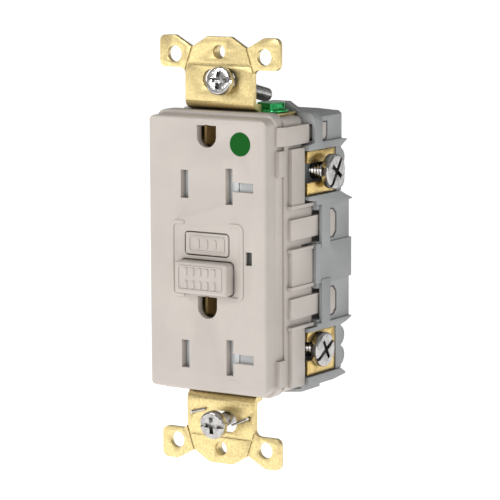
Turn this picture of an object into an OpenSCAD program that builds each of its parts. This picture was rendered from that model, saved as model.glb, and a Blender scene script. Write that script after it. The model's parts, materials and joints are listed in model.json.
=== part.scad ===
// Duplex ground-fault receptacle, 20 A, tamper resistant, with yoke, reset and test buttons.
// X is to the right, Y goes into the wall and Z is up. The origin is midway between the two
// box-screw slots, in the plane of the strap's rear face.

/* [Face] */
// Width of the flat face that fills the wall-plate opening
face_w = 33.3; // [32.8:0.1:33.6]
// Height of the flat face
face_h = 66.4; // [66:0.1:67]
// How far the face stands in front of the strap's rear plane
face_front = 7; // [6.6:0.1:7.4]
// Corner radius of the face
face_r = 2; // [1.5:0.1:2.5]
// Thickness of the front wall
face_wall = 2; // [1.8:0.1:2.1]

/* [Outlets] */
// Height of the upper outlet's blade slots above the origin
upper_z = 16.85; // [16.5:0.05:17]
// Height of the lower outlet's blade slots (below the origin)
lower_z = -24.55; // [-24.8:0.05:-24.2]
// Distance between the centres of the two blade slots
blade_pitch = 12.7; // [12.6:0.05:12.8]
// Height of the ground hole above its blade slots
ground_rise = 11.8; // [11.6:0.05:12]

/* [Buttons] */
// Width of the test button
test_w = 12.3; // [12:0.1:12.6]
// Height of the test button
test_h = 5.4; // [5.2:0.1:5.5]
// Width of the reset button
reset_w = 14.9; // [14.5:0.1:15]
// Height of the reset button
reset_h = 7.9; // [7.6:0.1:8]
// How far the reset button stands out when tripped
reset_out = 3.3; // [3:0.1:3.5]

/* [Strap] */
// Distance between the box-screw slots
box_pitch = 83.34; // [83.2:0.02:83.4]
// Distance between the wall-plate screw holes
plate_pitch = 96.84; // [96.8:0.02:96.9]
// Thickness of the strap
strap_t = 1.3; // [1.2:0.05:1.35]
// Distance of the ear holes from the centre line
ear_x = 12.75; // [12.6:0.05:12.9]
// Height of the ear holes
ear_z = 47.55; // [47.4:0.05:47.7]

/* [Body] */
// Half width of the almond skirt in its recessed strip
skirt_x = 17.4; // [17.3:0.05:17.5]
// Half width over the almond side plates
plate_x = 18.4; // [18.3:0.05:18.5]
// Half width over the grey side walls
wall_x = 18.8; // [18.75:0.05:18.9]
// Half width over the snap loops and ledges
loop_x = 19.4; // [19.3:0.05:19.5]
// Rear plane of the body
back_y = 28.3; // [28.1:0.1:28.5]

/* [Terminals] */
// Height of the centre of the upper terminals
load_z = 19.1; // [19:0.05:19.2]
// Height of the centre of the lower terminals
line_z = -25.05; // [-25.15:0.05:-24.95]
// Diameter of a terminal screw's head
term_head_d = 8.5; // [8.2:0.1:8.6]
// Diameter of a terminal screw's thread
term_d = 4.1; // [4:0.05:4.15]

/* [Hidden] */
$fn = 48;

// Colours
almond = [0.80, 0.77, 0.73];
grey = [0.56, 0.58, 0.59];
gold = [0.85, 0.70, 0.36];
copper = [0.72, 0.50, 0.25];
steel = [0.70, 0.70, 0.70];
white_nylon = [0.90, 0.91, 0.92];

// Depths from front to back
flange_y = -3.1;          // front of the flange behind the face block
skirt_front = 0;          // where the skirt starts behind the flange
skirt_back = 8;           // rear rim of the skirt
body_front = 8.3;         // front rim of the grey body
strap_back = 2.4;         // rear of the strap where it runs behind the cover
carrier_y = [2.8, 4.6];   // contact carrier plate
board_y = [19.6, 21.2];   // circuit board
blade_x = blade_pitch / 2;
outlets = [upper_z, lower_z];
test_z = 2.64;
reset_z = -5.35;
led_z = -0.08;
led_x = 11.83;
pole = [1, -1];           // +1 is the neutral side, -1 the hot side

// ---------- Shared shapes ----------

// Flat rounded rectangle centred on the origin
module round_rect(w, h, r) {
    square([w - 2 * r, h], center = true);
    square([w, h - 2 * r], center = true);
    for (sx = [-1, 1], sz = [-1, 1])
        translate([sx * (w / 2 - r), sz * (h / 2 - r)]) circle(r);
}

// Points along an arc
function arc(centre, r, a0, a1) =
    [for (i = [0 : 6]) let (a = a0 + (a1 - a0) * i / 6) centre + r * [cos(a), sin(a)]];

// A flat shape in X and Z, drawn out from depth y0 to depth y1
module along_y(y0, y1) {
    translate([0, y1, 0]) rotate([90, 0, 0]) linear_extrude(y1 - y0) children();
}

// A flat shape in Y and Z, drawn out from x0 to x1
module along_x(x0, x1) {
    translate([x0, 0, 0]) rotate([90, 0, 90]) linear_extrude(x1 - x0) children();
}

// A flat shape in X and Y, drawn out from z0 to z1
module along_z(z0, z1) {
    translate([0, 0, z0]) linear_extrude(z1 - z0) children();
}

// A box from one corner to the other
module block(a, b) {
    translate(a) cube(b - a);
}

// The same children on the right side and, mirrored, on the left
module both_sides() {
    children();
    mirror([1, 0, 0]) children();
}

// Coil spring along +Z: a six-sided wire swept along its turns
module coil(r, wire, length, turns) {
    sides = 6;
    steps = 12 * turns;
    rise = (length - 2 * wire) / steps;
    rings = [for (i = [0 : steps]) for (k = [0 : sides - 1])
        let (a = 30 * i, b = 360 * k / sides, w = wire * cos(b))
            [(r + w) * cos(a), (r + w) * sin(a), wire + rise * i + wire * sin(b)]];
    skin = [for (i = [0 : steps - 1]) for (k = [0 : sides - 1])
        let (n = (k + 1) % sides)
            [i * sides + k, (i + 1) * sides + k, (i + 1) * sides + n, i * sides + n]];
    caps = [
        [for (k = [0 : sides - 1]) k],
        [for (k = [0 : sides - 1]) steps * sides + sides - 1 - k]
    ];
    polyhedron(rings, concat(skin, caps), convexity = 4);
}

// Block with its four long edges and front edges rounded, from depth y0 to y1
module soft_front_block(w, h, r, y0, y1, edge) {
    intersection() {
        along_y(y0, y1) round_rect(w, h, r);
        along_z(-h / 2, h / 2) front_round(w, y0, y1, edge);
        along_x(-w / 2, w / 2) rotate(90) mirror([0, 1]) front_round(h, y0, y1, edge);
    }
}

// Outline across and into the depth with its two front corners rounded
module front_round(w, y0, y1, edge) {
    translate([-w / 2, y0 + edge]) square([w, y1 - y0 - edge]);
    translate([-w / 2 + edge, y0]) square([w - 2 * edge, y1 - y0]);
    for (sx = [-1, 1])
        translate([sx * (w / 2 - edge), y0 + edge]) circle(edge);
}

// ---------- Front cover ----------

// Ground hole: flat top, round bottom
module ground_hole_outline() {
    translate([-2.75, 0]) square([5.5, 2.6]);
    circle(2.75);
}

// Slots and ground hole of one outlet, centred on the blade slots
module outlet_outline() {
    translate([-blade_x - 1.1, -3.4]) square([2.2, 6.8]);
    translate([blade_x - 1, -4.3]) square([2, 8.7]);
    translate([blade_x, -1.15]) square([6.75, 2.3]);
    translate([0, ground_rise]) ground_hole_outline();
}

// Shallow bracket-shaped ridge on each side of the buttons
module button_brackets() {
    along_y(-face_front - 0.22, -face_front + 0.5)
        translate([0, -1.3]) difference() {
            round_rect(20.6, 18.6, 1.7);
            round_rect(19, 17, 1);
            square([13, 20], center = true);
        }
}

// Latch arm that passes under one of the grey body's loops, its head filling the window behind
module latch_arm(z0, z1) {
    block([16.4, 1.9, z0], [18.2, 18.8, z1]);
    along_x(16.9, 18.6) window_outline(18.8, 22, z0 - 0.9, z1 + 0.8);
}

// Window in a side wall, seen from the side: its rear corners are cut off
module window_outline(y0, y1, z0, z1) {
    polygon([[y0, z0], [y1 - 1.4, z0], [y1, z0 + 1.3], [y1, z1 - 1.3], [y1 - 1.4, z1], [y0, z1]]);
}

// Outer surfaces of one side of the almond skirt
module skirt_side() {
    // plates beside the upper terminal, the middle block and the lower terminal
    for (z = [[12, 25.6, 7.9], [-7.6, 0.7, 11.5], [-32.3, -18.2, 7.9]])
        block([16, 2, z[0]], [plate_x, z[2], z[1]]);
    // ribs above and below the latch arms
    for (z = [11.2, 0.7, -8.4, -18.2])
        block([16, 1.4, z], [plate_x + 0.3, 11.6, z + 0.8]);
    // recessed strip continued under the latch arms
    for (z = [[1.95, 10.9], [-17.5, -8.3]])
        block([16, 0.3, z[0]], [skirt_x, 12.7, z[1]]);
    latch_arm(3.6, 8.6);
    latch_arm(-15.6, -10.6);
    corner_latch();
    // small bosses on the flange
    for (z = [[19.3, 25.5], [-31.5, -25]])
        block([16, -2.9, z[0]], [17.9, 0, z[1]]);
}

// Wide latch at the top corner: a block flush with the flange, then a tongue with its tooth
module corner_latch() {
    along_z(26.6, 31.1) polygon([[16, -2.9], [17.2, -2.9], [18.5, -0.9], [18.5, 9.8], [16, 9.8]]);
    block([16.4, 9, 27.4], [17.7, 17.4, 30.5]);
    along_x(17.5, 18.6) polygon([[15.2, 26.9], [17, 26.9], [17.6, 27.7], [17.6, 31], [15.2, 31]]);
}

module front_cover() {
    color(almond)
    difference() {
        union() {
            soft_front_block(face_w, face_h, face_r, -face_front, flange_y + 0.5, 0.7);
            soft_front_block(34, 68.6, 3, flange_y, 0.6, 0.8);
            along_y(skirt_front, skirt_back) round_rect(2 * skirt_x, 66.2, 1.5);
            both_sides() skirt_side();
            button_brackets();
        }
        // hollow behind the face
        along_y(-face_front + face_wall, skirt_back + 12) round_rect(30.6, 63.4, 1);
        along_y(0.6, skirt_back + 12) round_rect(32, 63.8, 1);
        // strap runs out at the top and bottom
        block([-10.1, 0.7, -40], [10.1, 2.8, 40]);
        // slot for the strap's ground-screw tab
        block([4.2, 0.7, 31.8], [14.4, 12, 40]);
        // outlet openings
        for (z = outlets)
            along_y(-face_front - 1, -4.5) translate([0, z]) outlet_outline();
        // button and lens openings
        along_y(-9, 0) translate([0, test_z]) round_rect(test_w + 0.5, test_h + 0.5, 1.15);
        along_y(-9, 0) translate([0, reset_z]) round_rect(reset_w + 0.5, reset_h + 0.5, 1.25);
        block([led_x - 0.85, -9, led_z - 1.6], [led_x + 0.85, 0, led_z + 1.6]);
        // seat of the green grade dot
        translate([9.5, -face_front - 0.1, 27.2]) rotate([-90, 0, 0]) cylinder(r = 2.86, h = 0.7);
    }
}

module grade_dot() {
    color("green")
    translate([9.5, -face_front - 0.05, 27.2]) rotate([-90, 0, 0]) cylinder(r = 2.85, h = 0.65);
}

// ---------- Buttons and lens ----------

module test_button() {
    color(almond) {
        translate([0, 0, test_z]) soft_front_block(test_w, test_h, 0.9, -7.15, -4.1, 0.35);
        // raised bars in place of lettering
        for (i = [-1, 0, 1])
            along_y(-7.35, -7) translate([i * 2.4, test_z]) round_rect(0.7, 2.2, 0.3);
        along_y(-7.35, -7) translate([0, test_z]) difference() {
            round_rect(10.2, 3.9, 0.6);
            round_rect(9.6, 3.3, 0.4);
        }
        // retaining lip and stem
        block([-test_w / 2 - 0.6, -4.6, test_z - 1.2], [test_w / 2 + 0.6, -3.9, test_z + 1.2]);
        block([-1, -4.2, test_z - 1], [1, 5, test_z + 1]);
    }
}

module reset_button() {
    front = -face_front - reset_out;
    color(almond) {
        translate([0, 0, reset_z]) soft_front_block(reset_w, reset_h, 1, front, -4.1, 0.9);
        // raised bars in place of lettering
        for (z = [-1.55, 1.55])
            along_y(front - 0.2, front + 0.2) {
                for (i = [-2 : 2])
                    translate([i * 2, reset_z + z]) round_rect(0.8, 1.9, 0.3);
            }
        along_y(front - 0.2, front + 0.2) translate([0, reset_z]) difference() {
            round_rect(12.6, 6, 0.6);
            round_rect(12, 5.4, 0.4);
        }
        // retaining lips
        block([-reset_w / 2 - 0.6, -4.6, reset_z - 2], [reset_w / 2 + 0.6, -3.9, reset_z + 2]);
    }
}

module led_lens() {
    color([0.75, 0.78, 0.8])
    block([led_x - 0.8, -6.3, led_z - 1.5], [led_x + 0.8, 14.6, led_z + 1.5]);
}

// ---------- Tamper-resistant shutters ----------

// Plate behind the upright slots: it slides to the left until both slots are open
module shutter_slider(z) {
    color(white_nylon)
    translate([0, 0, z]) difference() {
        block([-9.6, -4.8, -4.9], [blade_x + 1.35, -3.6, 4.9]);
        block([-blade_x + 1.4, -6, -3.7], [-blade_x + 4.1, -2, 3.7]);
    }
}

// Gate beside the slider that drops until its window meets the horizontal slot
module shutter_gate(z) {
    color(white_nylon)
    translate([0, 0, z]) difference() {
        block([blade_x + 1.6, -4.8, -1.6], [14, -3.6, 6.9]);
        block([blade_x + 1, -6, 2.1], [13.4, -1, 5.1]);
    }
}

module upper_shutter_slider() { shutter_slider(upper_z); }
module lower_shutter_slider() { shutter_slider(lower_z); }
module upper_shutter_gate() { shutter_gate(upper_z); }
module lower_shutter_gate() { shutter_gate(lower_z); }

module shutter_springs() {
    color(steel)
    for (z = outlets)
        translate([-15.2, -4.2, z]) rotate([0, 90, 0]) coil(0.45, 0.2, 5.5, 5);
}

// ---------- Yoke ----------

green_y = 7;              // depth of the green screw's axis

// Upper half of the tab outline, on the right of the centre line
module tab_outline() {
    polygon(concat(
        [[0, 36.5], [9.7, 36.5]], arc([11.2, 42.9], 1.5, 180, 90),
        arc([15.4, 46], 1.6, -90, 0), arc([15.4, 50.5], 1.6, 0, 90),
        [[12.7, 52.1], [7.8, 49.4], [3.3, 52.05], [0, 52.05]]
    ));
}

// One tab with its ear holes, plate-screw hole, slot and retainer holes
module strap_tab(wire_holes) {
    slot_r = 2.6;
    difference() {
        along_y(-strap_t, 0) {
            tab_outline();
            mirror([1, 0]) tab_outline();
        }
        for (s = pole)
            translate([s * ear_x, -5, ear_z]) rotate([-90, 0, 0]) cylinder(d = 4.05, h = 8);
        translate([0, -5, plate_pitch / 2]) rotate([-90, 0, 0]) cylinder(d = 3.4, h = 8);
        for (s = pole)
            translate([s * 2, -5, box_pitch / 2]) rotate([-90, 0, 0]) cylinder(r = slot_r, h = 8);
        block([-2, -5, box_pitch / 2 - slot_r], [2, 3, box_pitch / 2 + slot_r]);
        if (wire_holes)
            for (s = pole)
                translate([s * 8.1, -5, 40.1]) rotate([-90, 0, 0]) cylinder(d = 1, h = 8);
        // break-off scores beside and across the tab
        for (s = pole) {
            translate([s * 8.75, -strap_t, 46.5]) rotate([0, -s * 18.5, 0])
                cube([0.5, 0.5, 6.2], center = true);
        }
        block([-9, -strap_t - 1, 45.15], [9, -strap_t + 0.25, 45.65]);
    }
    // collar of the tapped plate-screw hole
    translate([0, -0.2, plate_pitch / 2]) rotate([-90, 0, 0]) difference() {
        cylinder(r = 2.5, h = 2);
        translate([0, 0, -1]) cylinder(d = 3.4, h = 5);
    }
    // step back to the plane behind the cover
    along_x(-9.7, 9.7) polygon(concat(
        [[0, 36.6], [0.3, 36.3], [strap_back - 0.3, 36], [strap_back, 35.6], [strap_back, 33.4],
         [strap_back - strap_t, 33.4]],
        arc([1.1, 36.8], 2.4, -90, -180), [[-strap_t, 36.9], [0, 36.9]]
    ));
}

module mounting_strap() {
    color(gold)
    difference() {
        union() {
            strap_tab(false);
            mirror([0, 0, 1]) strap_tab(true);
            along_y(strap_back - strap_t, strap_back) {
                translate([-9.7, 23.2]) square([19.4, 10.4]);
                translate([-9.7, -34.8]) square([19.4, 3.6]);
                translate([-3.4, -32]) square([6.8, 56]);
                translate([-7, -18.4]) square([14, 25]);
            }
            // ground-screw tab bent back at the top
            block([4.6, strap_back - strap_t, 32.8], [14, 11, 33.8]);
        }
        for (z = outlets)
            translate([0, 0, z + ground_rise]) {
                translate([0, -2, 0]) rotate([-90, 0, 0]) cylinder(r = 3.6, h = 8);
                for (s = pole)
                    translate([s * 5.4, -2, 0]) rotate([-90, 0, 0]) cylinder(r = 0.8, h = 8);
            }
        translate([0, -2, reset_z]) rotate([-90, 0, 0]) cylinder(r = 2.7, h = 8);
        block([-1.5, -2, test_z - 1.5], [1.5, 6, test_z + 1.5]);
        translate([9.5, green_y, 30]) cylinder(r = 2.1, h = 6);
    }
}

// Pan-head machine screw along +Z, its head's underside at z = 0, with a combination recess.
// The thread, drawn at its crest diameter, starts after a thinner plain neck.
module pan_screw(head_d, head_h, thread_d, length, neck = 0) {
    difference() {
        rotate_extrude() {
            square([thread_d / 2 - 0.4, length - 0.8]);
            translate([0, neck]) square([thread_d / 2, length - 0.8 - neck]);
            translate([0, length - 0.9]) square([thread_d / 2 - 0.5, 0.9]);
            translate([0, -head_h]) square([head_d / 2 - 0.6, head_h]);
            translate([0, 0.6 - head_h]) square([head_d / 2, head_h - 0.6]);
            translate([head_d / 2 - 0.6, 0.6 - head_h]) circle(0.6);
        }
        for (a = [0, 90])
            translate([0, 0, -head_h]) rotate(a) cube([head_d * 0.6, 1.1, 2.4], center = true);
        translate([0, 0, -head_h]) cube([head_d + 1, 0.9, 1.4], center = true);
    }
}

// Box screw through its slot: tilt is the droop of its tip, out how far its head stands off
module box_screw(x, z_slot, tilt, out, length) {
    translate([x, -strap_t / 2, z_slot]) rotate([-90 - tilt, 0, 0])
        translate([0, 0, -out]) pan_screw(6.9, 2, 3.5, length, 7);
}

module top_mounting_screw() { color(steel) box_screw(1.4, 41.05, 13, 1.55, 21); }
module bottom_mounting_screw() { color(steel) box_screw(1.1, -41, -5, 4.75, 16); }

// One leg of the wire that keeps the lower box screw from dropping out
module retainer_leg(s, end) {
    start = [s * 8.1, -strap_t - 0.42, -40.1];
    run = end - start;
    translate(start) {
        translate([0, -0.34, 0]) rotate([-90, 0, 0]) cylinder(r = 0.35, h = 2.7);
        rotate([0, atan2(run[0], run[2]), 0]) cylinder(r = 0.3, h = norm(run));
    }
}

module screw_retainer() {
    color(steel) {
        retainer_leg(-1, [-4.2, -strap_t - 0.42, -38.9]);
        retainer_leg(1, [3.5, -strap_t - 0.42, -42.2]);
    }
}

module ground_screw() {
    color("green")
    translate([9.5, green_y, 33.9]) difference() {
        union() {
            cylinder(r = 4.3, h = 0.7);
            cylinder(d = 7.6, h = 2.3, $fn = 6);
            translate([0, 0, -5]) cylinder(r = 2.05, h = 5.5);
        }
        translate([0, 0, 2.3]) cube([9, 1, 1.8], center = true);
    }
}

// ---------- Grounding contacts ----------

module ground_contact(z) {
    color(copper)
    translate([0, 0, z + ground_rise]) {
        difference() {
            block([-6.6, 0.45, -3], [6.6, 1.05, 3]);
            block([-2.4, -2, -2.6], [2.4, 6, 2.6]);
            for (s = pole)
                translate([s * 5.4, -2, 0]) rotate([-90, 0, 0]) cylinder(r = 0.8, h = 8);
        }
        both_sides()
            block([2.4, -3.2, -2.2], [3, 8.6, 2.2]);
        both_sides()
            along_z(-2.2, 2.2) polygon([[3, 6.4], [2.4, 6.4], [1.9, 7.4], [2.4, 8.6], [3, 8.6]]);
    }
}

module upper_ground_contact() { ground_contact(upper_z); }
module lower_ground_contact() { ground_contact(lower_z); }

module ground_rivets() {
    color(gold)
    for (z = outlets, s = pole)
        translate([s * 5.4, 0, z + ground_rise]) rotate([-90, 0, 0]) {
            translate([0, 0, 0.4]) cylinder(r = 0.78, h = 2.05);
            translate([0, 0, -0.05]) cylinder(r = 1.3, h = 0.48);
            translate([0, 0, 2.42]) cylinder(r = 1.3, h = 0.3);
        }
}

// Plate that holds the blade contacts apart behind the strap
module contact_carrier() {
    color([0.25, 0.25, 0.27])
    difference() {
        along_y(carrier_y[0], carrier_y[1]) round_rect(31, 62.8, 1);
        for (z = outlets) translate([0, 0, z]) {
            both_sides() block([4.5, 0, -4.6], [8.3, 8, 4.6]);
            block([8, 0, -1.9], [14.1, 8, 1.9]);
            translate([0, 0, ground_rise]) block([-3.7, 0, -3], [3.7, 8, 2.75]);
        }
        translate([0, 0, reset_z]) rotate([-90, 0, 0]) cylinder(r = 1.3, h = 8);
        block([-1.4, 0, test_z - 1.4], [1.4, 8, test_z + 1.4]);
        block([led_x - 1.1, 0, led_z - 1.8], [led_x + 1.1, 8, led_z + 1.8]);
        translate([9.5, green_y, 26]) cylinder(r = 2.9, h = 9);
    }
}

// ---------- Blade contacts ----------

// Leaf pair that grips one upright blade
module blade_clip(z) {
    translate([0, 0, z]) {
        for (s = pole)
            translate([blade_x, 0, 0]) mirror([s > 0 ? 0 : 1, 0, 0])
                along_z(-3.9, 3.9) polygon([
                    [0.9, 9.6], [0.9, 1.5], [0.78, 0], [1.3, -1.5], [1.9, -1.5], [1.4, 0],
                    [1.5, 1.5], [1.5, 9.6]
                ]);
        block([blade_x - 1.5, 9.5, -3.9], [blade_x + 1.5, 10.4, 3.9]);
    }
}

// Face bus on the right: two clips, the strip between them and the leg to the board
module face_bus() {
    for (z = outlets) blade_clip(z);
    block([blade_x - 1.45, 9.6, lower_z - 3], [blade_x + 1.45, 10.4, 21.6]);
    block([blade_x - 1.45, 9.6, 20.8], [blade_x + 1.45, 19.55, 21.6]);
    // fixed contact rivet of the relay
    translate([blade_x, 10.4, 1]) rotate([-90, 0, 0]) cylinder(r = 1.4, h = 0.5);
}

module neutral_face_bus() {
    color(copper) {
        face_bus();
        // leaves for the horizontal blade
        for (z = outlets, s = [0, 1])
            translate([0, 0, z]) mirror([0, 0, s]) {
                block([8.4, -1.2, 0.85], [12.3, 9.3, 1.4]);
                block([7.2, 9.3, 0.85], [12.3, 9.9, 1.4]);
            }
        for (z = outlets)
            block([7.2, 9.6, z - 1.4], [12.3, 10.4, z + 1.4]);
    }
}

module hot_face_bus() { color(copper) mirror([1, 0, 0]) face_bus(); }

// ---------- Wire terminals ----------

plate_in = 17.4;          // inner face of a terminal plate
plate_out = 18.4;         // outer face
load_screw = [17.3, load_z];
line_screw = [14.7, line_z + 0.65];

// Plate with its U notch open to the front and its tail to the circuit board
module terminal(z, screw) {
    color(gold) {
        along_x(plate_in, plate_out) difference() {
            translate([9.3, z - 5.35]) square([12.9, 10.7]);
            translate(screw) circle(2.35);
            translate([8, screw[1] - 2.35]) square([screw[0] - 8, 4.7]);
        }
        block([11.4, 20.85, z - 1.8], [plate_in + 0.1, 21.85, z + 1.8]);
    }
}

// Pressure plate on the screw, drawn out towards the terminal plate as the screw turns
module clamp(screw) {
    y = screw[0];
    z = screw[1];
    color(steel)
    difference() {
        union() {
            block([14.1, y - 6.2, z - 4.3], [15.3, y + 3.2, z + 4.3]);
            for (i = [-3.4, 3.4])
                block([15.2, y - 6.2, z + i - 0.4], [15.6, y + 3.2, z + i + 0.4]);
        }
        translate([10, y, z]) rotate([0, 90, 0]) cylinder(d = term_d + 0.1, h = 10);
    }
}

// Terminal screw along X, its head's underside at x
module terminal_screw(x, screw, turned) {
    translate([x, screw[0], screw[1]]) rotate([0, -90, 0]) rotate(turned)
        pan_screw(term_head_d, 2, term_d, x - 13.95);
}

module load_neutral_terminal() { terminal(load_z, load_screw); }
module load_hot_terminal() { mirror([1, 0, 0]) terminal(load_z, load_screw); }
module line_neutral_terminal() { terminal(line_z, line_screw); }
module line_hot_terminal() { mirror([1, 0, 0]) terminal(line_z, line_screw); }
module load_neutral_clamp() { clamp(load_screw); }
module load_hot_clamp() { mirror([1, 0, 0]) clamp(load_screw); }
module line_neutral_clamp() { clamp(line_screw); }
module line_hot_clamp() { mirror([1, 0, 0]) clamp(line_screw); }
module load_neutral_screw() { color(steel) terminal_screw(19.9, load_screw, 35); }
module line_neutral_screw() { color(steel) terminal_screw(18.45, line_screw, 60); }
module load_hot_screw() { color(gold) mirror([1, 0, 0]) terminal_screw(18.45, load_screw, 20); }
module line_hot_screw() { color(gold) mirror([1, 0, 0]) terminal_screw(18.45, line_screw, 75); }

// ---------- Grey back body ----------

lip_front = 2.9;          // where the bottom lip comes nearest to the strap
channel_half = 5.6;       // half height of the wall swollen round the wire channels

// Ledge seen from the side, run out from inside the body to the width x
module ledge(x, points) {
    along_x(14, x) polygon(points);
}

// Side wall of the body, drawn on the right
module body_side() {
    // walls beside the latch arms, each with the proud loop that an arm passes under
    for (z = [[0.5, 11.4], [-18, -7.2]]) {
        block([15, 13, z[0]], [wall_x, back_y, z[1]]);
        block([18, 14.3, z[0]], [loop_x, 18.3, z[1]]);
    }
    // prouder middle block
    block([15, 11.9, -8], [loop_x - 0.2, 28.8, 1.65]);
    // top corner with its loop
    block([15, 11, 26.2], [wall_x, 24.7, 32.2]);
    along_y(11.6, 24.7) polygon([[12, 31.5], [18.8, 31.5], [18.8, 32.5], [18, 33.2], [12, 33.5]]);
    along_y(11, 14.6) polygon([
        [18, 26.2], [loop_x, 26.2], [loop_x, 31.6], [18.9, 32.8], [18, 33.5],
        [14.4, 33.6], [14.4, 32.4], [17.6, 32], [18, 31]
    ]);
    // bottom corner
    block([12, 10.2, -32.6], [wall_x - 0.6, 23.6, -30.6]);
    // ledges round the terminals, from the top down
    ledge(loop_x, [
        [8.3, 24.7], [8.3, 26], [10.2, 26.4], [24.3, 26.5], [26.4, 26.2], [26.1, 25.9], [23.6, 24.7]
    ]);
    ledge(loop_x, [
        [8.3, 13.6], [8.3, 12.9], [9.4, 12.5], [11.9, 12.2], [12.1, 11.3], [17.9, 11.1],
        [27.5, 11.1], [28.8, 11.2], [28.7, 11.5], [26, 12.5], [23.3, 13.6]
    ]);
    ledge(loop_x, [
        [8.3, -19.5], [8.3, -18.5], [12.2, -18.5], [12.2, -17.9], [28.5, -17.9], [28.7, -18.2],
        [25.9, -19.1], [23.9, -19.5]
    ]);
    ledge(loop_x - 0.2, [
        [8.3, -32.6], [8.3, -30.6], [23.9, -30.6], [26.1, -31.8], [26, -32.2], [19.9, -32.8]
    ]);
    // rear wall behind the terminals, swollen round its wire channels
    for (z = [load_z, line_z]) {
        block([14, 22.3, z - channel_half], [18.6, 24.8, z + channel_half]);
        for (i = [-2.5, 2.5])
            translate([14, 24.05, z + i]) rotate([0, 90, 0]) cylinder(r = 2.45, h = 4.6);
    }
}

// Pocket for a terminal, its clamp and its screw
module terminal_pocket(z) {
    block([13.8, body_front - 1, z - 5.45], [30, 22.3, z + 5.45]);
    block([12.4, 20.7, z - 1.95], [20, 22.3, z + 1.95]);
    for (i = [-2.5, 2.5])
        translate([16.5, 15, z + i]) rotate([-90, 0, 0]) cylinder(r = 1.1, h = 13);
}

module back_body() {
    color(grey)
    difference() {
        union() {
            along_y(body_front, 25.2) round_rect(2 * 15.8, 65.2, 1.5);
            along_y(22, back_y) translate([0, -2.9]) round_rect(2 * 15.8, 29.6, 1);
            block([-12.5, 11.6, 32], [12.5, 24.7, 33.5]);
            both_sides() body_side();
            // gusset behind the green screw
            along_y(11.7, 14) polygon([[6, 33], [6, 36], [10.7, 36], [14.9, 33.4], [14.9, 33]]);
            bottom_wall();
        }
        // main cavity, wider and deeper in the middle
        along_y(body_front - 1, 23.4) round_rect(25.2, 62, 1);
        along_y(body_front - 1, 23.4) translate([0, -3]) round_rect(26.6, 30, 1);
        along_y(20, 26.6) translate([0, -2.9]) round_rect(26.6, 26.4, 1);
        for (m = [0, 1]) mirror([m, 0, 0]) {
            // tunnels for the latch arms, and the windows that their heads fill
            for (z = [[2.1, 9.9], [-17.1, -9.3]]) {
                block([15.9, 7, z[0]], [18.65, 18.6, z[1]]);
                block([15.9, 7, z[0]], [22, 14.3, z[1]]);
                along_x(15.9, 22) window_outline(18.6, 22.3, z[0] + 0.3, z[1] - 0.2);
            }
            for (z = [load_z, line_z]) terminal_pocket(z);
            // tunnel and window of the corner latch
            block([15.9, 7, 26.9], [18.65, 15, 30.9]);
            along_x(15.9, 22) polygon([
                [14.9, 26.6], [17.2, 26.6], [17.9, 27.5], [17.9, 31.3], [14.9, 31.3]
            ]);
        }
        // groove that clears the upper box screw
        block([-2.8, 9, 31.8], [4.6, 26, 37]);
        // green screw's thread
        translate([9.5, green_y, 26]) cylinder(r = 2.8, h = 12);
    }
    // posts under the circuit board
    color(grey)
    for (x = pole, z = [-15, 9.4])
        translate([x * 11, board_y[1], z]) rotate([-90, 0, 0]) cylinder(r = 1.5, h = 5.5);
}

// Bottom wall, and its lip that bows forward under the skirt
module bottom_wall() {
    half = wall_x - 1.6;
    bow = 30;
    block([-half, body_front, -33.5], [half, 23.3, -31.6]);
    along_z(-34.2, -33.4) intersection() {
        translate([0, lip_front + bow]) circle(bow, $fn = 96);
        translate([-half, lip_front]) square([2 * half, 14]);
    }
}

// ---------- Circuit board and what it carries ----------

module circuit_board() {
    color([0.1, 0.35, 0.2])
    difference() {
        union() {
            along_y(board_y[0], board_y[0] + 1.2) round_rect(24.2, 60, 1);
            along_y(board_y[0], board_y[1]) translate([0, -2.9]) round_rect(25.6, 25.6, 1);
        }
        for (x = [-1.6, 1.6])
            translate([x, 15, line_z + 3]) rotate([-90, 0, 0]) cylinder(r = 0.75, h = 9);
    }
}

// Toroid standing on the Y axis through the point (0, -, z)
module toroid(z, y0, y1, r_in, r_out) {
    translate([0, y0, z]) rotate([-90, 0, 0]) difference() {
        cylinder(r = r_out, h = y1 - y0);
        translate([0, 0, -1]) cylinder(r = r_in, h = y1 - y0 + 2);
    }
}

coil_z = line_z + 3;
module sense_coil() { color([0.7, 0.35, 0.15]) toroid(coil_z, 12.5, 15.4, 3.6, 6.6); }
module grounded_neutral_coil() { color([0.6, 0.3, 0.1]) toroid(coil_z, 16, 18.9, 3.6, 6.6); }

module coil_housing() {
    color([0.2, 0.2, 0.2]) {
        difference() {
            translate([0, 11.6, coil_z]) rotate([-90, 0, 0]) cylinder(r = 7.4, h = 8);
            translate([0, 12.4, coil_z]) rotate([-90, 0, 0]) cylinder(r = 6.7, h = 8);
            translate([0, 10, coil_z]) rotate([-90, 0, 0]) cylinder(r = 2.8, h = 12);
        }
        toroid(coil_z, 11.6, 19.6, 2.8, 3.5);
        toroid(coil_z, 15.45, 15.95, 3.4, 6.8);
    }
}

// Bars from the contact arms, round the coil housing and back through the coils to the board
module line_conductors() {
    color(copper) both_sides() {
        block([5.2, 15.25, -15.9], [8.9, 15.9, -14.1]);
        block([8.2, 10.6, coil_z - 0.8], [8.9, 15.9, -14.1]);
        block([0.9, 10.6, coil_z - 0.8], [8.9, 11.3, coil_z + 0.8]);
        translate([1.6, 10.9, coil_z]) rotate([-90, 0, 0]) cylinder(r = 0.7, h = 10);
    }
}

// ---------- Relay: contact arms, latch block and solenoid ----------

pivot_z = -15.2;
arm_y = 14.2;

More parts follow.
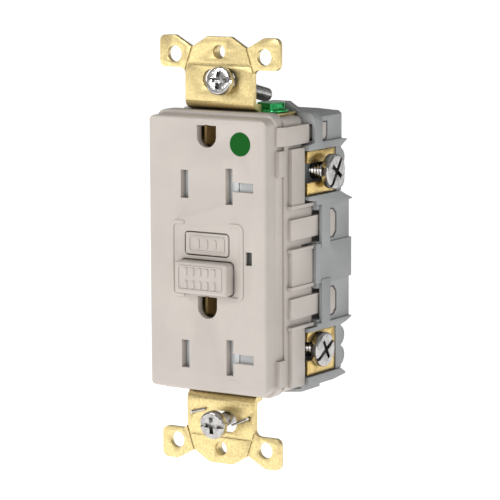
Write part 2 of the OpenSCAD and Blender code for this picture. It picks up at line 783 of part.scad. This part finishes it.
// Spring arm on the right that closes against the face bus
module contact_arm() {
    block([blade_x - 1.4, arm_y, pivot_z + 0.3], [blade_x + 1.4, arm_y + 0.7, 2.2]);
    translate([blade_x, arm_y + 0.35, pivot_z]) rotate([0, 90, 0])
        cylinder(r = 0.6, h = 2.8, center = true);
    translate([blade_x, arm_y - 0.6, 1]) rotate([-90, 0, 0]) cylinder(r = 1.4, h = 0.7);
}

module neutral_contact_arm() { color(copper) contact_arm(); }
module hot_contact_arm() { color(copper) mirror([1, 0, 0]) contact_arm(); }

module latch_block() {
    color([0.85, 0.83, 0.75])
    difference() {
        union() {
            block([-4, 11.4, -9.6], [4, 16.6, -1.1]);
            block([-7.9, 15.1, -6.3], [7.9, 16.6, -4.4]);
        }
        // slot of the latch plate, bore of the reset pin
        block([-3, 12.6, -8.9], [3, 13.5, 2]);
        translate([0, 5, reset_z]) rotate([-90, 0, 0]) cylinder(r = 1.18, h = 20);
        // seat of the latch spring
        block([-1.2, 12, -9.3], [1.2, 14.1, -8.4]);
    }
}

module latch_plate() {
    color(steel)
    difference() {
        union() {
            block([-2.8, 12.7, -8.0], [2.8, 13.4, 1.4]);
            block([-1.6, 12.7, 1], [1.6, 17.2, 1.7]);
        }
        translate([0, 5, reset_z]) rotate([-90, 0, 0]) cylinder(r = 1.5, h = 20);
        block([-1.5, 5, reset_z], [1.5, 20, reset_z + 1.9]);
    }
}

module latch_spring() {
    color(steel) translate([0, 13.05, -8.9]) coil(0.35, 0.12, 0.85, 2);
}

module reset_pin() {
    color(steel)
    translate([0, 0, reset_z]) rotate([-90, 0, 0]) rotate_extrude() {
        translate([0, -3.9]) square([1.12, 15.25]);
        translate([0, 11.3]) square([0.75, 0.8]);
        polygon([[0, 12], [1.12, 12], [1.12, 12.2], [0.4, 13], [0, 13]]);
    }
}

module reset_spring() {
    color(steel) translate([0, -3.85, reset_z]) rotate([-90, 0, 0]) coil(1.6, 0.3, 6.6, 7);
}

module test_button_spring() {
    color(steel) translate([4.6, -3.85, test_z]) rotate([-90, 0, 0]) coil(0.6, 0.2, 4.85, 6);
}

module test_leaf() {
    color(copper) {
        block([-4, 5.1, test_z - 0.9], [2.2, 5.5, test_z + 0.9]);
        translate([-4, 5.3, test_z]) cylinder(r = 0.4, h = 1.8, center = true);
    }
}

// Solenoid along Z above the latch plate
sol_y = 15.4;
sol_z = [4.6, 15.6];

module solenoid_bobbin() {
    color([0.9, 0.9, 0.85])
    translate([0, sol_y, sol_z[0]]) difference() {
        union() {
            cylinder(r = 1.9, h = sol_z[1] - sol_z[0]);
            cylinder(r = 3.7, h = 0.8);
            translate([0, 0, sol_z[1] - sol_z[0] - 0.8]) cylinder(r = 3.7, h = 0.8);
        }
        translate([0, 0, -1]) cylinder(r = 1.3, h = 20);
    }
}

module solenoid_winding() {
    color(copper)
    translate([0, sol_y, sol_z[0] + 0.85]) difference() {
        cylinder(r = 3.4, h = sol_z[1] - sol_z[0] - 1.7);
        translate([0, 0, -1]) cylinder(r = 1.95, h = 20);
    }
}

module solenoid_frame() {
    color(steel)
    difference() {
        union() {
            block([-3.8, 11.3, sol_z[0] - 0.8], [3.8, 19.4, sol_z[0] - 0.05]);
            block([-3.8, 11.3, sol_z[1] + 0.05], [3.8, 19.4, sol_z[1] + 0.8]);
            block([3.85, 11.3, sol_z[0] - 0.8], [4.5, 19.4, sol_z[1] + 0.8]);
            block([3.7, 11.3, sol_z[0] - 0.8], [4, 19.4, sol_z[0] - 0.05]);
            block([3.7, 11.3, sol_z[1] + 0.05], [4, 19.4, sol_z[1] + 0.8]);
        }
        translate([0, sol_y, 0]) cylinder(r = 1.3, h = 30);
    }
}

module solenoid_plunger() {
    color(steel)
    translate([0, sol_y, 2.2]) {
        translate([0, 0, -0.45]) cylinder(r = 0.6, h = 4.45);
        translate([0, 0, 3.4]) cylinder(r = 1.24, h = 13.6);
        translate([0, 0, 16.4]) cylinder(r = 2, h = 0.7);
    }
}

module plunger_spring() {
    color(steel) translate([0, sol_y, sol_z[1] + 0.85]) coil(1.7, 0.2, 2.05, 3);
}

// ---------- Other board components ----------

module surge_varistor() {
    color([0.1, 0.2, 0.6])
    translate([10.3, 15.6, -5.6]) rotate([0, 90, 0]) cylinder(r = 3.9, h = 2.2);
}

module capacitors() {
    color([0.15, 0.15, 0.5]) {
        translate([-8.6, 14, 12]) rotate([-90, 0, 0]) cylinder(r = 2.4, h = 5.55);
        translate([-10, 15.4, 27]) rotate([-90, 0, 0]) cylinder(r = 1.9, h = 4.15);
        block([2, 15.6, 22.2], [8, 19.55, 25.7]);
    }
}

module resistors() {
    color([0.75, 0.6, 0.45])
    for (z = [-12.5, -9.6, -6.7])
        translate([-11.2, 18.6, z]) rotate([0, 90, 0]) cylinder(r = 0.9, h = 4.2);
}

module control_chip() {
    color([0.1, 0.1, 0.1])
    block([-4.2, 18, 20.8], [-0.4, 19.55, 27]);
}

module trip_thyristor() {
    color([0.12, 0.12, 0.12])
    block([8.6, 15.2, 9], [12.2, 19.55, 11.4]);
}

module indicator_led() {
    color([0.9, 0.3, 0.2])
    translate([led_x - 0.6, 0, led_z]) rotate([-90, 0, 0]) {
        translate([0, 0, 16.2]) cylinder(r = 1.2, h = 3.35);
        translate([0, 0, 16.2]) sphere(1.2);
    }
}

// ---------- Assembly ----------
front_cover();
grade_dot();
test_button();
reset_button();
led_lens();
upper_shutter_slider();
lower_shutter_slider();
upper_shutter_gate();
lower_shutter_gate();
shutter_springs();
mounting_strap();
top_mounting_screw();
bottom_mounting_screw();
screw_retainer();
ground_screw();
upper_ground_contact();
lower_ground_contact();
ground_rivets();
contact_carrier();
neutral_face_bus();
hot_face_bus();
load_neutral_terminal();
load_hot_terminal();
line_neutral_terminal();
line_hot_terminal();
load_neutral_clamp();
load_hot_clamp();
line_neutral_clamp();
line_hot_clamp();
load_neutral_screw();
load_hot_screw();
line_neutral_screw();
line_hot_screw();
back_body();
circuit_board();
sense_coil();
grounded_neutral_coil();
coil_housing();
line_conductors();
solenoid_bobbin();
solenoid_winding();
solenoid_frame();
solenoid_plunger();
plunger_spring();
latch_block();
latch_plate();
latch_spring();
reset_pin();
reset_spring();
test_leaf();
test_button_spring();
neutral_contact_arm();
hot_contact_arm();
surge_varistor();
capacitors();
resistors();
control_chip();
trip_thyristor();
indicator_led();
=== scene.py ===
import json
import math

import bmesh
import bpy
from mathutils import Matrix, Vector


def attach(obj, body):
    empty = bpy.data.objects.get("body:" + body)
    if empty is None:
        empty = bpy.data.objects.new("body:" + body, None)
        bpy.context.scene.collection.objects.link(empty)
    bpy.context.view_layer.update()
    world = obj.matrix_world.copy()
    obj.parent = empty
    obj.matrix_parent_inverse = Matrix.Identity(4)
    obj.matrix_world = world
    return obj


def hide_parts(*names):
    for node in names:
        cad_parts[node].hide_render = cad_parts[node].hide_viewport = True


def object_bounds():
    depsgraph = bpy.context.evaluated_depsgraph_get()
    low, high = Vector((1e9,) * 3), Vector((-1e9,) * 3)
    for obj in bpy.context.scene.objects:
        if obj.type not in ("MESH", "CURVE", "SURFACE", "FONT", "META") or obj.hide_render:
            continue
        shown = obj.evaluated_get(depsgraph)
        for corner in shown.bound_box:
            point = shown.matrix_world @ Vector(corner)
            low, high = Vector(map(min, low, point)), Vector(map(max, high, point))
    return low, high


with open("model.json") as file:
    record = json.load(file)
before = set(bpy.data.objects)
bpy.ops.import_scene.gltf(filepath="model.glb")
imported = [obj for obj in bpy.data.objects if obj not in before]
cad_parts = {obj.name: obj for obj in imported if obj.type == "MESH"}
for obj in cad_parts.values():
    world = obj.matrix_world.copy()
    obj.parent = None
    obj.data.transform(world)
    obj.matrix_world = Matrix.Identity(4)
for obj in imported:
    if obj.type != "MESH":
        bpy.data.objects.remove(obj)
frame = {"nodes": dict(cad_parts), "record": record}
cad_box = [list(corner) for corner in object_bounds()]
MM = 0.001
scene = bpy.context.scene
scene.view_settings.view_transform = "Standard"


def add_object(name, data):
    """Puts a new object with that mesh, light or camera data in the scene."""
    obj = bpy.data.objects.new(name, data)
    scene.collection.objects.link(obj)
    return obj


# ---------- Camera ----------

# Lengths in metres, the lens and the sensor in mm
CAMERA_AZIMUTH = math.radians(32.25)
CAMERA_ELEVATION = math.radians(8.22)
CAMERA_ROLL = math.radians(-0.21)
CAMERA_DISTANCE = 0.6666
CAMERA_RIGHT = 0.00657
CAMERA_UP = 0.00039
CAMERA_LENS = 198.3
SENSOR_WIDTH = 36
NEAREST_VISIBLE = 0.05
FARTHEST_VISIBLE = 20


def make_camera():
    """A long lens at the front right, a little above the middle."""
    a, e = CAMERA_AZIMUTH, CAMERA_ELEVATION
    back = Vector((math.sin(a) * math.cos(e), -math.cos(a) * math.cos(e), math.sin(e)))
    level = Vector((math.cos(a), math.sin(a), 0))
    upright = back.cross(level)
    right = level * math.cos(CAMERA_ROLL) + upright * math.sin(CAMERA_ROLL)
    up = upright * math.cos(CAMERA_ROLL) - level * math.sin(CAMERA_ROLL)
    data = bpy.data.cameras.new("camera")
    data.lens = CAMERA_LENS
    data.sensor_width = SENSOR_WIDTH
    data.clip_start = NEAREST_VISIBLE
    data.clip_end = FARTHEST_VISIBLE
    camera = add_object("camera", data)
    place = right * CAMERA_RIGHT + up * CAMERA_UP + back * CAMERA_DISTANCE
    turn = Matrix((right, up, back)).transposed().to_4x4()
    camera.matrix_world = Matrix.Translation(place) @ turn
    scene.camera = camera


# ---------- Node helpers ----------

class Graph:
    """A material under construction: short calls for the nodes that the recipes below share."""

    def __init__(self, name):
        self.material = bpy.data.materials.new(name)
        self.material.use_nodes = True
        self.nodes = self.material.node_tree.nodes
        self.links = self.material.node_tree.links
        self.shader = self.nodes["Principled BSDF"]
        self.place = self.nodes.new("ShaderNodeTexCoord").outputs["Object"]

    def new(self, kind, **settings):
        """A node of that kind, with its settings."""
        node = self.nodes.new("ShaderNode" + kind)
        for key, value in settings.items():
            setattr(node, key, value)
        return node

    def feed(self, node, **values):
        """Sets or links inputs by name; an underscore in a name stands for a space."""
        for key, value in values.items():
            socket = node.inputs[key.replace("_", " ")]
            if isinstance(value, bpy.types.NodeSocket):
                self.links.new(value, socket)
            else:
                socket.default_value = value
        return node

    def stretched(self, scale):
        """The object's own coordinates, scaled by axis."""
        return self.feed(self.new("Mapping"), Vector=self.place, Scale=scale).outputs["Vector"]

    def noise(self, scale, detail=4, roughness=0.55, vector=None):
        """Soft noise; a larger scale makes smaller features."""
        node = self.new("TexNoise")
        self.feed(node, Scale=scale, Detail=detail, Roughness=roughness, Vector=vector or self.place)
        return node.outputs["Fac"]

    def cells(self, scale):
        """Distance from the nearest of many scattered points."""
        node = self.new("TexVoronoi")
        return self.feed(node, Scale=scale, Vector=self.place).outputs["Distance"]

    def bands(self, axis, profile, scale, distortion=0):
        """Stripes across one axis."""
        node = self.new("TexWave", wave_type="BANDS", bands_direction=axis, wave_profile=profile)
        return self.feed(node, Scale=scale, Distortion=distortion, Vector=self.place).outputs["Fac"]

    def ramp(self, value, stops):
        """Colour ramp from (position, value or colour) pairs."""
        node = self.new("ValToRGB")
        self.links.new(value, node.inputs["Fac"])
        marks = node.color_ramp.elements
        while len(marks) < len(stops):
            marks.new(0.5)
        for mark, (position, colour) in zip(marks, stops):
            mark.position = position
            grey = not hasattr(colour, "__len__")
            mark.color = (colour, colour, colour, 1) if grey else (*colour, 1)
        return node.outputs["Color"]

    def mix(self, factor, a, b):
        """Colour a where the factor is 0, colour b where it is 1."""
        node = self.new("Mix", data_type="RGBA")
        # The colour inputs of a Mix node come after those for plain numbers and vectors
        for socket, value in zip((0, 6, 7), (factor, a, b)):
            if isinstance(value, bpy.types.NodeSocket):
                self.links.new(value, node.inputs[socket])
            else:
                node.inputs[socket].default_value = value if socket == 0 else (*value, 1)
        return node.outputs[2]

    def bump(self, height, strength, distance, under=None):
        """Normals for that height, on top of an earlier bump where there is one."""
        node = self.feed(self.new("Bump"), Strength=strength, Distance=distance, Height=height)
        if under:
            self.links.new(under, node.inputs["Normal"])
        return node.outputs["Normal"]

    def painted_gap_shade(self, colour, reach, depth):
        """The colour with painted shade: darker in narrow gaps and inner corners, from ambient occlusion.
        """
        node = self.feed(self.new("AmbientOcclusion", samples=6), Distance=reach)
        shade = self.ramp(node.outputs["AO"], [(0.15, depth), (0.85, 0.0)])
        return self.mix(shade, colour, (0, 0, 0))


def shaded(colour, factor):
    """A colour made lighter or darker, none of its parts above 1."""
    return tuple(min(1, part * factor) for part in colour)


# ---------- Materials ----------

PLASTIC_IOR = 1.5


def moulded_plastic(name, colour, roughness, grain=0.12, tint=0.05, gloss=0.45):
    """Injection-moulded plastic: faint cloudiness, a fine spark-eroded grain, slightly uneven gloss, and
    painted shade in gaps and inner corners.
    """
    g = Graph(name)
    dark = shaded(colour, 1 - tint)
    light = shaded(colour, 1 + tint * 0.5)
    cloud = g.noise(90, detail=3)
    fleck = g.noise(2600, detail=2)
    haze = g.noise(260, detail=5)
    base = g.mix(g.ramp(cloud, [(0.3, 0.0), (0.7, 1.0)]), dark, light)
    base = g.mix(g.ramp(fleck, [(0.62, 0.0), (0.8, 0.18)]), base, dark)
    # Painted shade: the colour is darkened in narrow gaps and inner corners.
    base = g.painted_gap_shade(base, reach=0.0014, depth=0.6)
    sheen = g.ramp(haze, [(0.3, roughness - 0.05), (0.7, roughness + 0.07)])
    skin = g.bump(g.noise(3800, detail=3), strength=grain, distance=0.00004)
    waviness = g.bump(g.noise(140, detail=2), strength=0.05, distance=0.0003, under=skin)
    g.feed(g.shader, Base_Color=base, Roughness=sheen, Normal=waviness)
    g.feed(g.shader, IOR=PLASTIC_IOR, Specular_IOR_Level=gloss)
    return g.material


def plated_metal(name, colour, roughness, streak=(40, 40, 900), mottle=0.1, grain=0.25, scratch=0.3,
                 fine=420):
    """Stamped and plated metal: rolling streaks, a mottled plate, fine scratches, and painted shade in
    gaps and inner corners.
    """
    g = Graph(name)
    dark = shaded(colour, 1 - mottle * 2.2)
    light = shaded(colour, 1 + mottle)
    patches = g.noise(fine, detail=6, roughness=0.65)
    streaks = g.noise(1.0, vector=g.stretched(streak))
    base = g.mix(g.ramp(patches, [(0.34, 0.0), (0.66, 1.0)]), dark, light)
    base = g.mix(g.ramp(streaks, [(0.4, 0.0), (0.75, 0.35)]), base, dark)
    # Painted shade: the colour is darkened in narrow gaps and inner corners.
    base = g.painted_gap_shade(base, reach=0.0012, depth=0.85)
    shine = g.ramp(patches, [(0.3, roughness + 0.08), (0.7, roughness - 0.04)])
    pits = g.bump(g.noise(1500), strength=grain, distance=0.00005)
    lines = g.bump(streaks, strength=scratch, distance=0.00004, under=pits)
    g.feed(g.shader, Base_Color=base, Roughness=shine, Normal=lines, Metallic=1)
    return g.material


def dyed_metal(name, colour, roughness):
    """Green dye over zinc, thinner and paler in patches, under a clear coat."""
    g = Graph(name)
    pale = tuple(min(1, part * 2.2 + 0.05) for part in colour)
    thin = g.ramp(g.noise(700, detail=5), [(0.45, 0.0), (0.75, 1.0)])
    dents = g.bump(g.noise(1800), strength=0.2, distance=0.00004)
    g.feed(g.shader, Base_Color=g.mix(thin, colour, pale), Roughness=roughness, Normal=dents)
    g.feed(g.shader, Metallic=0.85, Coat_Weight=0.6, Coat_Roughness=0.08)
    return g.material


# A wave texture of scale 1 draws about three bands to the metre
WAVE_BANDS = 3


def wound_wire(name, colour, pitch):
    """Enamelled wire: rows of round turns, with painted shade in the gaps between them."""
    g = Graph(name)
    turns = g.bands("Z", "SIN", 1 / pitch / WAVE_BANDS, distortion=0.3)
    # Painted shade: the colour falls to a quarter of itself in the gaps between turns.
    base = g.mix(g.ramp(turns, [(0.0, 0.0), (0.5, 1.0)]), shaded(colour, 0.25), colour)
    wires = g.bump(turns, strength=0.8, distance=0.0001)
    g.feed(g.shader, Base_Color=base, Roughness=0.3, Metallic=0.6, Normal=wires)
    return g.material


def board_laminate(name, colour, weave_colour):
    """Solder mask over woven glass, with faint copper areas under it."""
    g = Graph(name)
    areas = g.ramp(g.cells(160), [(0.30, 0.0), (0.34, 1.0)])
    weave = g.ramp(g.noise(2400, detail=2), [(0.5, 0.0), (0.8, 0.3)])
    base = g.mix(weave, g.mix(areas, shaded(colour, 1.5), colour), weave_colour)
    steps = g.bump(areas, strength=0.2, distance=0.00006)
    g.feed(g.shader, Base_Color=base, Roughness=0.35, Normal=steps)
    return g.material


def banded_body(name, colour, bands):
    """Lacquered component body with two generic coloured bands, repeated across X."""
    g = Graph(name)
    stops = [(0.0, colour), (0.3, bands[0]), (0.42, colour), (0.6, bands[1]), (0.72, colour)]
    base = g.ramp(g.bands("X", "SAW", 120), stops)
    lacquer = g.bump(g.noise(900), strength=0.1, distance=0.00005)
    g.feed(g.shader, Base_Color=base, Roughness=0.35, Normal=lacquer)
    return g.material


SURFACES = {
    # slot: (recipe, its colour and other settings)
    "almond_plastic": (moulded_plastic, dict(colour=(0.560, 0.508, 0.462), roughness=0.42)),
    "grey_plastic": (moulded_plastic, dict(colour=(0.345, 0.350, 0.352), roughness=0.5,
                                           grain=0.2, tint=0.08)),
    "green_inlay": (moulded_plastic, dict(colour=(0.004, 0.100, 0.010), roughness=0.5, gloss=0.12)),
    "lens": (moulded_plastic, dict(colour=(0.050, 0.046, 0.041), roughness=0.3, grain=0.02)),
    "shutter_nylon": (moulded_plastic, dict(colour=(0.72, 0.75, 0.76), roughness=0.5)),
    "natural_nylon": (moulded_plastic, dict(colour=(0.70, 0.66, 0.55), roughness=0.5)),
    "carrier_plastic": (moulded_plastic, dict(colour=(0.025, 0.025, 0.027), roughness=0.5)),
    "black_epoxy": (moulded_plastic, dict(colour=(0.012, 0.012, 0.013), roughness=0.6)),
    "blue_epoxy": (moulded_plastic, dict(colour=(0.012, 0.035, 0.25), roughness=0.3)),
    "led_epoxy": (moulded_plastic, dict(colour=(0.55, 0.06, 0.03), roughness=0.15)),
    "strap_brass": (plated_metal, dict(colour=(0.94, 0.74, 0.36), roughness=0.36, mottle=0.11,
                                       streak=(900, 500, 900), grain=0.9, scratch=0.5, fine=1500)),
    "terminal_brass": (plated_metal, dict(colour=(0.78, 0.57, 0.22), roughness=0.26)),
    "brass_screw": (plated_metal, dict(colour=(0.78, 0.56, 0.24), roughness=0.22)),
    "contact_bronze": (plated_metal, dict(colour=(0.95, 0.72, 0.36), roughness=0.62, mottle=0.05)),
    "screw_steel": (plated_metal, dict(colour=(0.56, 0.545, 0.53), roughness=0.2, mottle=0.16,
                                       streak=(700, 700, 700), grain=0.6, scratch=0.6, fine=700)),
    "clamp_steel": (plated_metal, dict(colour=(0.66, 0.73, 0.80), roughness=0.6)),
    "spring_steel": (plated_metal, dict(colour=(0.55, 0.55, 0.56), roughness=0.25)),
    "green_screw": (dyed_metal, dict(colour=(0.008, 0.33, 0.085), roughness=0.12)),
    "copper_winding": (wound_wire, dict(colour=(0.60, 0.22, 0.07), pitch=0.0003)),
    "board": (board_laminate, dict(colour=(0.02, 0.14, 0.05), weave_colour=(0.2, 0.4, 0.25))),
    "resistor_body": (banded_body, dict(colour=(0.55, 0.38, 0.22),
                                        bands=((0.4, 0.02, 0.01), (0.02, 0.02, 0.02)))),
}
materials = {slot: recipe("surface_" + slot, **settings) for slot, (recipe, settings) in SURFACES.items()}
slot_of = {row["node"]: row["material_slot"] for row in frame["record"]["subparts"]}
body_of = {
    node: body
    for body, nodes in frame["record"]["behaviour"]["bodies"].items()
    for node in nodes
}


def wear(obj, material_slot):
    """Gives an object one material, the one of that slot."""
    obj.data.materials.clear()
    obj.data.materials.append(materials[material_slot])


# ---------- Pieces made from the CAD solids ----------

WELD_DISTANCE = 2e-6
FLAT_WITHIN = math.radians(0.8)


def cad_copy(node, name):
    """A welded copy of a CAD node's mesh, with flat faces as single polygons."""
    mesh = frame["nodes"][node].data.copy()
    mesh.name = name
    bm = bmesh.new()
    bm.from_mesh(mesh)
    bmesh.ops.remove_doubles(bm, verts=bm.verts, dist=WELD_DISTANCE)
    bmesh.ops.dissolve_limit(bm, angle_limit=FLAT_WITHIN, verts=bm.verts, edges=bm.edges)
    bm.to_mesh(mesh)
    bm.free()
    return add_object(name, mesh)


def stand_for(obj, node):
    """Makes a finished piece take a CAD node's place."""
    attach(obj, body_of[node])
    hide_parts(node)
    wear(obj, slot_of[node])


def smooth_shading(obj, angle):
    """Shades an object smooth, but for edges that turn by more than the angle in degrees."""
    for polygon in obj.data.polygons:
        polygon.use_smooth = True
    bpy.context.view_layer.objects.active = obj
    with bpy.context.temp_override(object=obj, active_object=obj, selected_objects=[obj]):
        bpy.ops.object.shade_smooth_by_angle(angle=math.radians(angle))


SHARP_EDGE = 32  # degrees between faces


def round_edges(obj, width, segments=2):
    """Breaks every sharp edge with a small radius, as moulded and tumbled parts have."""
    bevel = obj.modifiers.new("edge_radius", "BEVEL")
    bevel.width = width
    bevel.segments = segments
    bevel.limit_method = "ANGLE"
    bevel.angle_limit = math.radians(SHARP_EDGE)
    bevel.use_clamp_overlap = True
    bevel.harden_normals = True
    smooth_shading(obj, SHARP_EDGE)


# Terminal names, then screw sizes in mm
TERMINALS = [side + "_" + pole for side in ("load", "line") for pole in ("neutral", "hot")]
SCREW_PITCH = 0.794
SCREW_EDGE = 0.14
CREST_RADIUS = {
    "top_mounting_screw": 1.75,
    "bottom_mounting_screw": 1.75,
    **{terminal + "_screw": 2.05 for terminal in TERMINALS},
}
THREAD_DEPTH = 0.58     # of the pitch
THREAD_RUNOUT = 0.7     # of the pitch, at each end
THREAD_SIDES = 36       # steps round one turn
THREAD_SHARP_EDGE = 40  # degrees between faces
CORE_INSET = 0.00002    # in metres, how far the core stays below the thread's root
# One turn's profile along the axis: share of the pitch, and whether it is at the crest
THREAD_PROFILE = [(0, False), (0.08, False), (0.44, True), (0.56, True), (0.92, False), (1, False)]


def screw_frame(body):
    """Where a screw's axis passes and which way its tip points, from its joint."""
    for joint in frame["record"]["behaviour"]["joints"]:
        if joint["child"] == body:
            return Vector(joint["pos_m"]), Vector(joint["axis"]).normalized()


def thread_mesh(name, start, end, crest, pitch):
    """Helical V thread along +Z between two heights, run out at both ends, round a plain core."""
    root = crest - THREAD_DEPTH * pitch
    runout = THREAD_RUNOUT * pitch
    turns = int((end - start) / pitch) + 2
    bm = bmesh.new()
    rows = []
    for i in range(turns * THREAD_SIDES + 1):
        angle = 2 * math.pi * i / THREAD_SIDES
        row = []
        for along, at_crest in THREAD_PROFILE:
            z = start - pitch + pitch * (i / THREAD_SIDES + along)
            fade = max(0, min(1, (z - start) / runout, (end - z) / runout))
            radius = root + (crest - root) * fade if at_crest else root
            z = max(start, min(end, z))
            row.append(bm.verts.new((radius * math.cos(angle), radius * math.sin(angle), z)))
        rows.append(row)
    for a, b in zip(rows, rows[1:]):
        for k in range(len(THREAD_PROFILE) - 1):
            bm.faces.new((a[k], b[k], b[k + 1], a[k + 1]))
    bmesh.ops.remove_doubles(bm, verts=bm.verts, dist=1e-7)
    bmesh.ops.dissolve_degenerate(bm, edges=bm.edges, dist=1e-7)
    core_radius = root - CORE_INSET
    core = bmesh.ops.create_cone(bm, cap_ends=True, segments=THREAD_SIDES, radius1=core_radius,
                                 radius2=core_radius, depth=end - start + CORE_INSET)
    bmesh.ops.translate(bm, verts=core["verts"], vec=(0, 0, (start + end) / 2))
    bmesh.ops.recalc_face_normals(bm, faces=bm.faces)
    mesh = bpy.data.meshes.new(name)
    bm.to_mesh(mesh)
    bm.free()
    return mesh


def cut_off(mesh, point, direction):
    """Takes away what lies beyond a plane through the point, across the direction."""
    bm = bmesh.new()
    bm.from_mesh(mesh)
    whole = list(bm.verts) + list(bm.edges) + list(bm.faces)
    bmesh.ops.bisect_plane(bm, geom=whole, dist=1e-8, plane_co=point, plane_no=direction,
                           clear_outer=True)
    bm.to_mesh(mesh)
    bm.free()


def cut_threads():
    """Gives each machine screw its real thread below the head of its CAD solid."""
    head_stub = 0.0001       # how much of the plain shank the head keeps
    thread_overlap = 0.0002  # how far the thread starts inside the head
    head_ratio = 1.3         # past this many crest radii, a point is on the head
    for node, crest_mm in CREST_RADIUS.items():
        crest, pitch = crest_mm * MM, SCREW_PITCH * MM
        origin, tip_way = screw_frame(body_of[node])
        head = cad_copy(node, node + "_finished")
        along = [(v.co - origin).dot(tip_way) for v in head.data.vertices]
        reach = [(v.co - origin).cross(tip_way).length for v in head.data.vertices]
        underside = max(t for t, r in zip(along, reach) if r > crest * head_ratio)
        cut_off(head.data, origin + tip_way * (underside + head_stub), tip_way)
        round_edges(head, SCREW_EDGE * MM, segments=3)
        stand_for(head, node)
        mesh = thread_mesh(node + "_thread", underside - thread_overlap, max(along), crest, pitch)
        shank = add_object(node + "_thread", mesh)
        turn = tip_way.to_track_quat("Z", "Y").to_matrix().to_4x4()
        shank.matrix_world = Matrix.Translation(origin) @ turn
        smooth_shading(shank, THREAD_SHARP_EDGE)
        stand_for(shank, node)


# Edge radius of each softened node, in mm
SOFT_EDGES = {
    "front_cover": 0.14,
    "test_button": 0.14,
    "reset_button": 0.16,
    "back_body": 0.13,
    "mounting_strap": 0.12,
    "ground_screw": 0.16,
    **{terminal + "_terminal": 0.1 for terminal in TERMINALS},
    **{terminal + "_clamp": 0.1 for terminal in TERMINALS},
}


def soften_nodes():
    """Rounds the edges of the larger parts that show."""
    for node, width in SOFT_EDGES.items():
        piece = cad_copy(node, node + "_finished")
        round_edges(piece, width * MM)
        stand_for(piece, node)


# ---------- Stage ----------

FLOOR_REACH = 6
FLOOR_DROP = 0.045
FLOOR_GLOW = 0.75
AMBIENT = 0.62
BACKDROP = 1.1
PANEL_SCALE = 3.6
DARK_PANEL = (0.44, 0.02)   # noise level, brightness
LIGHT_PANEL = (0.56, 1.0)
LIGHTS = {
    # name: (place, width and height, power), all aimed at the frame's origin
    "key": ((-0.30, -0.62, 0.42), (0.22, 0.22), 2.15),
    "front_fill": ((0.42, -0.72, 0.14), (0.16, 0.3), 0.9),
    "side_fill": ((0.75, -0.10, 0.1), (0.4, 0.7), 0.4),
}


def make_floor():
    """A plain pale floor well below the device, which hangs in the air as on its wall."""
    mesh = bpy.data.meshes.new("floor")
    level = cad_box[0][2] - FLOOR_DROP
    r = FLOOR_REACH
    corners = [(-r, -r, level), (r, -r, level), (r, r, level), (-r, r, level)]
    mesh.from_pydata(corners, [], [(0, 1, 2, 3)])
    floor = add_object("floor", mesh)
    g = Graph("pale_floor")
    tone = g.ramp(g.noise(3, detail=2), [(0.2, 0.95), (0.8, 0.98)])
    g.feed(g.shader, Base_Color=tone, Roughness=0.9)
    g.feed(g.shader, Emission_Color=(1, 1, 1, 1), Emission_Strength=FLOOR_GLOW)
    mesh.materials.append(g.material)


def make_lights():
    """Soft rectangular lights in front of the device and beside it."""
    for name, (place, size, power) in LIGHTS.items():
        data = bpy.data.lights.new(name, "AREA")
        data.shape = "RECTANGLE"
        data.size, data.size_y = size
        data.energy = power
        light = add_object(name, data)
        light.location = place
        light.rotation_euler = (-Vector(place)).to_track_quat("-Z", "Y").to_euler()


def make_world():
    """A white studio: a plain backdrop, and light and dark panels all round for metal to reflect."""
    world = bpy.data.worlds.new("studio")
    world.use_nodes = True
    tree = world.node_tree
    panels = tree.nodes.new("ShaderNodeTexNoise")
    panels.inputs["Scale"].default_value = PANEL_SCALE
    panels.inputs["Detail"].default_value = 1
    tree.links.new(tree.nodes.new("ShaderNodeTexCoord").outputs["Generated"], panels.inputs["Vector"])
    tone = tree.nodes.new("ShaderNodeValToRGB")
    for mark, (position, value) in zip(tone.color_ramp.elements, (DARK_PANEL, LIGHT_PANEL)):
        mark.position = position
        mark.color = (value, value, value, 1)
    tree.links.new(panels.outputs["Fac"], tone.inputs["Fac"])
    ambient = tree.nodes["Background"]
    tree.links.new(tone.outputs["Color"], ambient.inputs["Color"])
    ambient.inputs["Strength"].default_value = AMBIENT
    backdrop = tree.nodes.new("ShaderNodeBackground")
    backdrop.inputs["Color"].default_value = (1, 1, 1, 1)
    backdrop.inputs["Strength"].default_value = BACKDROP
    path = tree.nodes.new("ShaderNodeLightPath")
    choose = tree.nodes.new("ShaderNodeMixShader")
    tree.links.new(path.outputs["Is Camera Ray"], choose.inputs["Fac"])
    tree.links.new(ambient.outputs["Background"], choose.inputs[1])
    tree.links.new(backdrop.outputs["Background"], choose.inputs[2])
    tree.links.new(choose.outputs["Shader"], tree.nodes["World Output"].inputs["Surface"])
    scene.world = world


make_world()
make_camera()
for cad_node, obj in frame["nodes"].items():
    wear(obj, slot_of[cad_node])
soften_nodes()
cut_threads()
make_floor()
make_lights()
